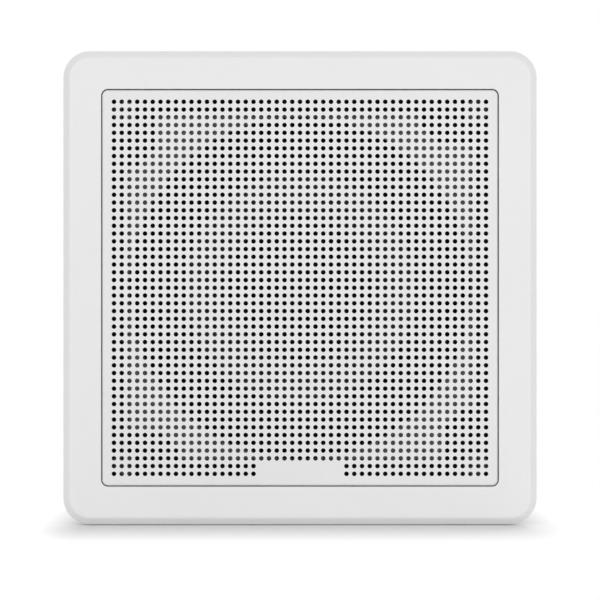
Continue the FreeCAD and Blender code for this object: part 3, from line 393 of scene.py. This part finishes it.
# Terminals: a punched strip of brown paper laminate on the basket, with two tin-plated brass tabs, each held
# by a rivet with a low domed head, and the tweeter's capacitor in its shrunk plastic sleeve. The paper's
# fibres and the sleeve's stretch show as streaks along X.
laminate, tree, place = new_finish("punched_paper_laminate")
fibre = add(tree, "Mapping", {"Vector": place, "Scale": (0.15, 1.0, 1.0)})
paper = add(tree, "TexNoise", {"Vector": fibre.outputs[0], "Scale": 1 / (1.0 * MM), "Detail": 5.0})
tint = add(tree, "Mix", {0: paper.outputs[0], 6: linear("#4a2a16"), 7: linear("#7d4c28")}, data_type="RGBA")
skin = add(tree, "BsdfPrincipled", {"Base Color": tint.outputs[2], "Roughness": 0.45, "IOR": 1.55})
add(tree, "OutputMaterial", {"Surface": skin.outputs[0]})
cover(laminate, "terminal_board")
tin_plate = plated_metal("tin_plated_brass", "#cbc8bd", "#b3aea0", mottle_mm=2.0, roughness=0.32)
cover(tin_plate, "terminal_positive", "terminal_negative")
rivet_radius, rivet_height, rivet_inset, rivet_root = 1.7, 0.7, 3.3, 0.2
dome = np.linspace(0, np.pi / 2, 9)
surfaces = []
for side in ("positive", "negative"):
    low, high = box_mm("terminal_" + side)
    root = high[1] - rivet_root
    head = np.stack([rivet_radius * np.cos(dome), high[1] + rivet_height * np.sin(dome)], -1)
    at = ((low[0] + high[0]) / 2, high[2] - rivet_inset)
    surfaces.append(lathe([(0, root), (rivet_radius, root), *head], columns=32, at=at, closed=False))
rivets = piece("terminal_rivets", surfaces, tin_plate)
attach(rivets, "housing")
sleeve, tree, place = new_finish("shrunk_polyester_sleeve")
streak = add(tree, "Mapping", {"Vector": place, "Scale": (0.2, 1.0, 1.0)})
flow = add(tree, "TexNoise", {"Vector": streak.outputs[0], "Scale": 1 / (2.5 * MM), "Detail": 2.0})
tint = add(tree, "Mix", {0: flow.outputs[0], 6: linear("#1b2640"), 7: linear("#26345a")}, data_type="RGBA")
skin = add(tree, "BsdfPrincipled", {"Base Color": tint.outputs[2], "Roughness": 0.22, "IOR": 1.57})
add(tree, "OutputMaterial", {"Surface": skin.outputs[0]})
cover(sleeve, "crossover_capacitor")

# Flexible leads: two copper tinsel braids from the board to the back of the cone, through a window, with
# slack for its travel. Soldered at the board and glued at the cone. The braid has seven ridges each way,
# which turn once round in 6 mm.
lead_slack, ridge_count, ridge_turn, ridge_height, lead_columns = 10.0, 7, 6.0, 0.08, 42
braid_copper = plated_metal("woven_copper_tinsel", "#b87a4c", "#7d4a2a", mottle_mm=0.8, roughness=0.4)
for side in ("positive", "negative"):
    low, high = box_mm("lead_" + side)
    middle = (low + high) / 2
    lead_radius = (high[0] - low[0]) / 2
    board_z, cone_z = low[2] + lead_radius, high[2] - lead_radius
    turn_depth = high[1] - lead_slack
    route = [(high[1], board_z), (turn_depth, board_z), (turn_depth, cone_z), (low[1], cone_z)]
    guide = bpy.data.curves.new("lead_guide_" + side, "CURVE")
    guide.dimensions = "3D"
    guide.resolution_u = 40
    spline = guide.splines.new("NURBS")
    spline.points.add(len(route) - 1)
    for point, (depth, height) in zip(spline.points, route):
        point.co = (middle[0], depth, height, 1.0)
    spline.order_u = 3
    spline.use_endpoint_u = True
    guide_object = bpy.data.objects.new("lead_guide_" + side, guide)
    line = bpy.data.meshes.new_from_object(guide_object)
    path = np.empty(len(line.vertices) * 3)
    line.vertices.foreach_get("co", path)
    path = path.reshape(-1, 3)
    bpy.data.objects.remove(guide_object)

    # The braid is a tube whose radius is the higher of two helices of ridges that cross.
    along = np.gradient(path, axis=0)
    along /= np.linalg.norm(along, axis=1, keepdims=True)
    across = np.array([1.0, 0.0, 0.0])
    beside = np.cross(along, across)
    length = np.concatenate([[0], np.cumsum(np.linalg.norm(np.diff(path, axis=0), axis=1))])
    angle = np.linspace(0, 2 * np.pi, lead_columns, endpoint=False)
    twist = 2 * np.pi * length[:, None] / ridge_turn
    ridges = np.maximum(np.cos(ridge_count * (angle + twist)), np.cos(ridge_count * (angle - twist)))
    reach = lead_radius * (1 - ridge_height + ridge_height * ridges)
    tube = path[:, None] + reach[..., None] * (
        np.cos(angle)[:, None] * across + np.sin(angle)[:, None] * beside[:, None])
    board_end, cone_end = [np.tile(path[end], (1, lead_columns, 1)) for end in (0, -1)]
    tube = np.concatenate([board_end, tube, cone_end])
    lead = piece("lead_braid_" + side, [(tube.reshape(-1, 3), quads(len(tube), lead_columns))],
                 braid_copper, sharp_degrees=60)
    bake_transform(lead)
    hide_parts("lead_" + side)

# Driver screws: four zinc-plated steel screws, driven from behind through the basket's rim. Each has a pan
# head with a cross recess.


def pan_head(radius, edge, top, foot, at, facing):
    """The head of a screw as a grid of radius and angle: a flat top with a rounded edge, and a cross sunk in
    it. The cross is the higher of two bars, each a product of soft steps in X and Z. facing is the way of its
    axis."""
    columns = 72
    arm_reach, arm_slope = 0.58 * radius, 0.12 * radius
    arm_half_width, side_slope = 0.17 * radius, 0.07 * radius
    cross_depth = 0.6 * abs(foot - top)
    share = np.concatenate([np.linspace(0, 1, 40), [1.0]])
    angle = np.linspace(0, 2 * np.pi, columns, endpoint=False)
    across = radius * share[:, None] * np.sin(angle)
    up = radius * share[:, None] * np.cos(angle)
    into = np.clip((share * radius - (radius - edge)) / edge, 0, 1)
    fall = edge * (1 - np.sqrt(1 - into ** 2))[:, None]

    def bar(along, beside):
        """How far a point lies inside one bar of the cross, from 0 outside it to 1 on its floor."""
        inside = np.clip((arm_reach - np.abs(along)) / arm_slope, 0, 1)
        return inside * np.clip((arm_half_width - np.abs(beside)) / side_slope, 0, 1)

    cross = np.maximum(bar(across, up), bar(up, across)) * cross_depth
    depth = top + facing * (fall + cross)
    depth[-1] = foot
    points = np.stack([at[0] + across, depth, at[1] + up], -1)
    underside = np.tile((at[0], foot, at[1]), (columns, 1))
    return np.concatenate([points.reshape(-1, 3), underside]), quads(len(share) + 1, columns)


low, high = box_mm("driver_screws")
head_radius, head_height, head_edge = 3.5, 2.4, 1.0
shank_radius, tip_radius, tip_length = 1.75, 1.05, 1.0
screw_at = high[0] - head_radius
surfaces = []
for across, up in ((-1, 1), (1, 1), (1, -1), (-1, -1)):
    at = (screw_at * across, screw_at * up)
    seat = high[1] - head_height
    surfaces.append(pan_head(head_radius, head_edge, high[1], seat, at, facing=-1))
    shank = [(0, low[1]), (tip_radius, low[1]), (shank_radius, low[1] + tip_length),
             (shank_radius, seat), (0, seat)]
    surfaces.append(lathe(shank, columns=32, at=at, closed=False))
driver_screws = piece("driver_screw_set", surfaces, zinc_plate)
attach(driver_screws, "housing")
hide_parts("driver_screws")

# Baffle trim: a thin moulded plate over the chassis floor, cut out round the driver and the clamps. Mid-grey
# ABS with the same fine grain as the frame.
cover(moulded_plastic("moulded_grey_abs", "#919191", "#8a8a8a", grain_mm=0.9, roughness=0.55), "baffle_trim")

# Driver ring: a black moulded ring pressed into the trim's opening. It covers the edge of the trim and frames
# the surround, in the same grain as the tweeter's pod.
cover(pod_abs, "driver_ring")

# Wall clamps: in each corner a steel screw turns in the chassis floor, and a black moulded dog rides on its
# thread, a ridge wound right-handed on the shank. A baked zinc-flake coat makes the screw dull grey.
clamp_head_height, clamp_head_edge, plain_length = 2.8, 0.6, 5.0
thread_core, thread_crest, thread_pitch = 1.5, 2.0, 1.4
zinc_flake = plated_metal("zinc_flake_coated_steel", "#8e8e90", "#7c7c7e", mottle_mm=1.5, roughness=0.6)
cover(black_abs, *[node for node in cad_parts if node.startswith("clamp_dog_")])


def threaded_shank(core, crest, pitch, start, plain_end, tip, at):
    """A shank as a grid of depth and angle: its radius is the core plus a ridge, whose place along the axis
    moves on by one pitch for each turn. The ridge is a triangle with a flat crest. The front stretch is
    plain, and the tip tapers."""
    columns, rows_per_pitch, tip_length, tip_share = 32, 8, 1.5, 0.35
    crest_half, root_half = 0.15, 0.4
    ridged = np.arange(plain_end, tip, pitch / rows_per_pitch)
    depth = np.concatenate([[start, plain_end], ridged, [tip, tip]])
    angle = np.linspace(0, 2 * np.pi, columns, endpoint=False)
    phase = (depth[:, None] / pitch - angle / (2 * np.pi)) % 1.0
    ridge = np.clip((root_half - np.abs(phase - 0.5)) / (root_half - crest_half), 0, 1)
    taper = np.clip((tip - depth) / tip_length, tip_share, 1)[:, None]
    radius = (core + (crest - core) * ridge) * taper
    radius[:2] = crest
    radius[-1] = 0
    points = np.stack([
        at[0] + radius * np.sin(angle), np.repeat(depth[:, None], columns, 1),
        at[1] + radius * np.cos(angle)], -1)
    front = np.tile((at[0], start, at[1]), (columns, 1))
    return np.concatenate([front, points.reshape(-1, 3)]), quads(len(depth) + 1, columns)


for corner in ("top_left", "top_right", "bottom_right", "bottom_left"):
    low, high = box_mm("clamp_screw_" + corner)
    at = ((low[0] + high[0]) / 2, (low[2] + high[2]) / 2)
    seat = low[1] + clamp_head_height
    head = pan_head((high[0] - low[0]) / 2, clamp_head_edge, low[1], seat, at, facing=1)
    shank = threaded_shank(
        thread_core, thread_crest, thread_pitch, seat, seat + plain_length, high[1], at)
    screw = piece("clamp_screw_thread_" + corner, [head, shank], zinc_flake)
    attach(screw, "clamp_screw_" + corner)
    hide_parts("clamp_screw_" + corner)

# Grille: a sheet of mild steel, punched with round holes on a square grid, its edges folded back, and powder
# coated white. A patch of two by eleven holes near the bottom edge is left plain. It drops into the frame.
low, high = box_mm("grille")
grille_half, sheet_front, fold_end = high[0], low[1], high[1]
sheet, hole_radius, pitch, hole_count = 1.0, 1.06, 3.5, 49
fold_radius, grille_corner, hole_sides = 1.0, 2.6, 12
plain_columns, plain_rows = 11, 2
half_cell = pitch / 2
field_half = hole_count * half_cell

# Each cell is a ring of twelve faces between a hole and the cell's square edge. Its corners lie at odd
# multiples of 45 degrees from the middle and its other eight points at odd multiples of 15. Twelve sides
# enclose three times the square of their reach, so a reach of the root of pi / 3 keeps the area of the round
# hole.
angle = np.radians(15 + 30 * np.arange(hole_sides))
circle = hole_radius * math.sqrt(math.pi / 3) * np.stack([np.cos(angle), np.sin(angle)], -1)
square = half_cell * circle / np.abs(circle).max(1, keepdims=True)
step = (np.arange(hole_count) - (hole_count - 1) / 2) * pitch
column, row = np.meshgrid(np.arange(hole_count), np.arange(hole_count), indexing="ij")
plain = (row < plain_rows) & (np.abs(column - (hole_count - 1) / 2) <= plain_columns / 2)
middles = np.stack([step[column], step[row]], -1)
sheet_back = sheet_front + sheet


def at_depth(flat, depth):
    """Points of (X, Z) as points of (X, depth, Z)."""
    return np.stack([flat[..., 0], np.full(flat.shape[:-1], depth), flat[..., 1]], -1)


# Round each hole: the cell's edge in front, the hole's edge in front and behind, the cell's edge behind.
punched = middles[~plain][:, None]
rings = np.stack([
    at_depth(punched + square, sheet_front), at_depth(punched + circle, sheet_front),
    at_depth(punched + circle, sheet_back), at_depth(punched + square, sheet_back)], 1)
first_points = 4 * hole_sides * np.arange(len(rings))
hole_faces = (quads(4, hole_sides) + first_points[:, None, None]).reshape(-1, 4)
surfaces = [(rings.reshape(-1, 3), hole_faces)]
for depth in (sheet_front, sheet_back):
    blank = at_depth(middles[plain][:, None] + square, depth)
    blank_faces = np.arange(len(blank) * hole_sides).reshape(-1, hole_sides)
    surfaces.append((blank.reshape(-1, 3), blank_faces))



def four_quarters(across, up):
    """Points of (X, Z) on one quarter of a square outline, and the same turned by one to three right
    angles."""
    turned = ((across, up), (-up, across), (-across, -up), (up, -across))
    return np.concatenate([np.stack(quarter, -1) for quarter in turned], -2)


# The border runs from the edge of the punched field over the fold and back. Each row is a rounded square.
edge = np.unique(np.round(step[:, None] + square[:, 0], 6))
bend = np.linspace(0, np.pi / 2, 7)
rim_half = grille_half - fold_radius + fold_radius * np.sin(bend)
rim = list(zip(rim_half, sheet_front + fold_radius * (1 - np.cos(bend))))
rim += [(grille_half, fold_end), (grille_half - sheet, fold_end), (grille_half - sheet, sheet_back)]
corner_middle = grille_half - grille_corner
arc = np.linspace(0, np.pi / 2, 9)
border = [(field_half, sheet_front)] + rim + [(field_half, sheet_back)]
border_rows = []
for half, depth in border:
    side = np.stack([np.full(len(edge), half), edge], -1)
    if half > field_half:
        turn = corner_middle + (half - corner_middle) * np.stack([np.cos(arc), np.sin(arc)], -1)
    else:
        turn = np.full((len(arc), 2), field_half)
    border_rows.append(at_depth(four_quarters(*np.concatenate([side, turn]).T), depth))
border_points = np.stack(border_rows)
surfaces.append((border_points.reshape(-1, 3), quads(*border_points.shape[:2])))

# Powder coat melts into a skin with a soft orange peel, here 1.6 mm across, matt and neutral.
powder_coat, tree, place = new_finish("white_powder_coat")
peel = add(tree, "TexNoise", {"Vector": place, "Scale": 1 / (1.6 * MM), "Detail": 1.0})
cloud = add(tree, "TexNoise", {"Vector": place, "Scale": 1 / (45 * MM), "Detail": 3.0})
tint = add(tree, "Mix", {0: cloud.outputs[0], 6: linear("#ebebeb"), 7: linear("#e4e4e4")}, data_type="RGBA")
gloss = add(tree, "MapRange", {"Value": peel.outputs[0], "To Min": 0.45, "To Max": 0.6})
dimples = add(tree, "Bump", {"Height": peel.outputs[0], "Strength": 0.2, "Distance": 0.04 * MM})
skin = add(tree, "BsdfPrincipled", {
    "Base Color": tint.outputs[2], "Roughness": gloss.outputs[0], "Normal": dimples.outputs[0], "IOR": 1.5})
add(tree, "OutputMaterial", {"Surface": skin.outputs[0]})
grille = piece("grille_punched_sheet", surfaces, powder_coat)
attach(grille, "housing")
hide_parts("grille")

# Frame: a moulded ring with a broad flat face and a bevelled outer edge, hollow behind, pinned to the chassis
# flange. White ASA from a finely etched mould, which leaves a soft satin.
low, high = box_mm("bezel")
frame_half, frame_front, frame_back = high[0], low[1], high[1]
frame_corner, frame_bevel, edge_radius, frame_wall, seat_depth = 12.0, 3.1, 2.0, 2.5, 3.0
grille_gap, lip, edge_margin, bevel_share = 0.45, 0.25, 0.3, 0.7
recess_half, recess_corner = grille_half + grille_gap, grille_corner + grille_gap
flange_front = frame_back - seat_depth
ceiling = frame_front + frame_wall

# A row is (half width, corner radius, depth): up the outer wall, over the bevel, round its inner edge to the
# flat face, down into the recess, and back round the hollow behind. The bevel lies at 45 degrees, and its
# edge is rounded over an eighth of a turn from the face.
edge_reach = frame_bevel + edge_radius * math.tan(math.pi / 8)
rows = [(frame_half, frame_corner, frame_back), (frame_half, frame_corner, frame_front + frame_bevel)]
eighth = np.linspace(np.pi / 4, 0, 9)
bevel_in = np.concatenate([
    [frame_bevel * bevel_share], edge_reach - edge_radius * np.sin(eighth), [edge_reach + edge_margin]])
bevel_deep = np.concatenate([
    [frame_bevel * (1 - bevel_share)], edge_radius * (1 - np.cos(eighth)), [0]])
rows += list(zip(frame_half - bevel_in, frame_corner - bevel_in, frame_front + bevel_deep))
rows += [(recess_half + lip + edge_margin, recess_corner + lip + edge_margin, frame_front)]
fall = np.linspace(0, np.pi / 2, 5)
lip_out, lip_deep = lip * (1 - np.sin(fall)), lip * (1 - np.cos(fall))
rows += list(zip(recess_half + lip_out, recess_corner + lip_out, frame_front + lip_deep))
rows += [(recess_half, recess_corner, flange_front),
         (recess_half + frame_wall, recess_corner + frame_wall, flange_front),
         (recess_half + frame_wall, recess_corner + frame_wall, ceiling),
         (frame_half - frame_wall, frame_corner - frame_wall, ceiling),
         (frame_half - frame_wall, frame_corner - frame_wall, frame_back)]
half, corner, depth = np.array(rows).T[..., None]
turn = np.linspace(0, np.pi / 2, 17)
straight = half - corner
ring = at_depth(four_quarters(straight + corner * np.cos(turn), straight + corner * np.sin(turn)), depth)
surfaces = [(ring.reshape(-1, 3), quads(*ring.shape[:2], closed_rows=True))]

# Eight pins stand on the ceiling of the hollow and pass through the flange.
pin_radius, pin_spread, pin_offset = 1.5, 60.0, (recess_half + frame_half) / 2
pin_root = ceiling - 0.5
for across, up in ((-1, -1), (-1, 1), (1, -1), (1, 1)):
    for at in ((pin_offset * across, pin_spread * up), (pin_spread * up, pin_offset * across)):
        surfaces.append(lathe(
            [(0, pin_root), (pin_radius, pin_root), (pin_radius, frame_back), (0, frame_back)],
            columns=24, at=at, closed=False))
white_asa = moulded_plastic("moulded_white_asa", "#ececec", "#e8e8e8", grain_mm=0.9, roughness=0.48)
bezel = piece("frame_ring", surfaces, white_asa)
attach(bezel, "housing")
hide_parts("bezel")

# Stage: the speaker stands on its edge on pale paper, in a white room. A soft lamp from the front left and a
# weaker one from the right model its face, and a third lights its back from above. The paper shows the
# speaker's shade, and turns into the white of the room by 105 mm from it. Sizes here are in metres.
floor_gap, floor_size, fade_length, side_squeeze = 0.0003, 3.0, 0.105, 5
room_light, white_light = 0.625, 1.0
floor_height = cad_box[0].z - floor_gap
floor_mesh = bpy.data.meshes.new("floor")
floor_mesh.from_pydata(
    [(-floor_size, -floor_size, floor_height), (floor_size, -floor_size, floor_height),
     (floor_size, floor_size, floor_height), (-floor_size, floor_size, floor_height)], [], [(0, 1, 2, 3)])
floor = bpy.data.objects.new("floor", floor_mesh)
bpy.context.scene.collection.objects.link(floor)


def seen_rays(tree):
    """1 for rays that show the backdrop, straight, mirrored or through something, and 0 for rays of light."""
    rays = add(tree, "LightPath", {}).outputs
    seen = add(tree, "Math", {0: rays["Is Camera Ray"], 1: rays["Is Glossy Ray"]}, operation="MAXIMUM")
    seen = add(tree, "Math", {0: seen.outputs[0], 1: rays["Is Transmission Ray"]}, operation="MAXIMUM")
    return seen.outputs[0]


# The distance from the speaker's foot, the straight stretch of its edge on the floor, counts five times over
# at the sides, where the shade is narrow.
paper, tree, place = new_finish("pale_studio_paper")
foot_middle = (cad_box[0] + cad_box[1]) / 2
foot_half = (cad_box[1] - cad_box[0]) / 2
offset = add(tree, "VectorMath", {0: place, 1: (*foot_middle.xy, floor_height)}, operation="SUBTRACT")
offset = add(tree, "VectorMath", {0: offset.outputs[0]}, operation="ABSOLUTE")
foot_edge = (foot_half.x - frame_corner * MM, foot_half.y, 0)
outside = add(tree, "VectorMath", {0: offset.outputs[0], 1: foot_edge}, operation="SUBTRACT")
outside = add(tree, "VectorMath", {0: outside.outputs[0], 1: (0, 0, 0)}, operation="MAXIMUM")
outside = add(tree, "VectorMath", {0: outside.outputs[0], 1: (side_squeeze, 1, 1)}, operation="MULTIPLY")
away = add(tree, "VectorMath", {0: outside.outputs[0]}, operation="LENGTH")
far = add(tree, "MapRange", {"Value": away.outputs["Value"], "From Max": fade_length}, clamp=True)
fade = add(tree, "Math", {0: seen_rays(tree), 1: far.outputs[0]}, operation="MULTIPLY")
matt = add(tree, "BsdfDiffuse", {"Color": linear("#e4e4e4")})
white = add(tree, "Emission", {"Strength": white_light})
both = add(tree, "MixShader", {0: fade.outputs[0], 1: matt.outputs[0], 2: white.outputs[0]})
add(tree, "OutputMaterial", {"Surface": both.outputs[0]})
floor_mesh.materials.append(paper)

room = bpy.data.worlds.new("white_room")
room.use_nodes = True
tree = room.node_tree
tree.nodes.clear()
fill = add(tree, "Background", {"Color": (1, 1, 1, 1), "Strength": room_light})
white = add(tree, "Background", {"Color": (1, 1, 1, 1), "Strength": white_light})
either = add(tree, "MixShader", {0: seen_rays(tree), 1: fill.outputs[0], 2: white.outputs[0]})
add(tree, "OutputWorld", {"Surface": either.outputs[0]})
bpy.context.scene.world = room
bpy.context.scene.view_settings.view_transform = "Standard"


def soft_lamp(name, place, size, power):
    """A square lamp at place, turned so that its light falls towards the speaker at the origin."""
    light = bpy.data.lights.new(name, "AREA")
    light.size, light.energy = size, power
    lamp = bpy.data.objects.new(name, light)
    lamp.location = place
    lamp.rotation_euler = (-Vector(place)).to_track_quat("-Z", "Y").to_euler()
    bpy.context.scene.collection.objects.link(lamp)


soft_lamp("key_lamp", (-1.8, -3.6, 0.5), size=1.2, power=38)
soft_lamp("fill_lamp", (1.3, -1.5, 0.3), size=0.8, power=7)
soft_lamp("back_lamp", (0.7, 2.2, 1.5), size=1.2, power=32)

# Camera: straight in front, 1.6 m from the face. The photograph is 600 pixels wide, and the speaker's 214 mm
# take up 474.1 of them, with its middle 12.2 pixels above the picture's middle.
picture, speaker_width, above = 600, 474.1, 12.2
distance, film_width = 1.6, 36
mm_per_pixel = 2 * frame_half / speaker_width
camera_data = bpy.data.cameras.new("camera")
camera_data.sensor_width = film_width
camera_data.lens = film_width * distance / (picture * mm_per_pixel * MM)
camera = bpy.data.objects.new("camera", camera_data)
camera.location = (0, frame_front * MM - distance, -above * mm_per_pixel * MM)
camera.rotation_euler = (math.pi / 2, 0, 0)
bpy.context.scene.collection.objects.link(camera)
bpy.context.scene.camera = camera
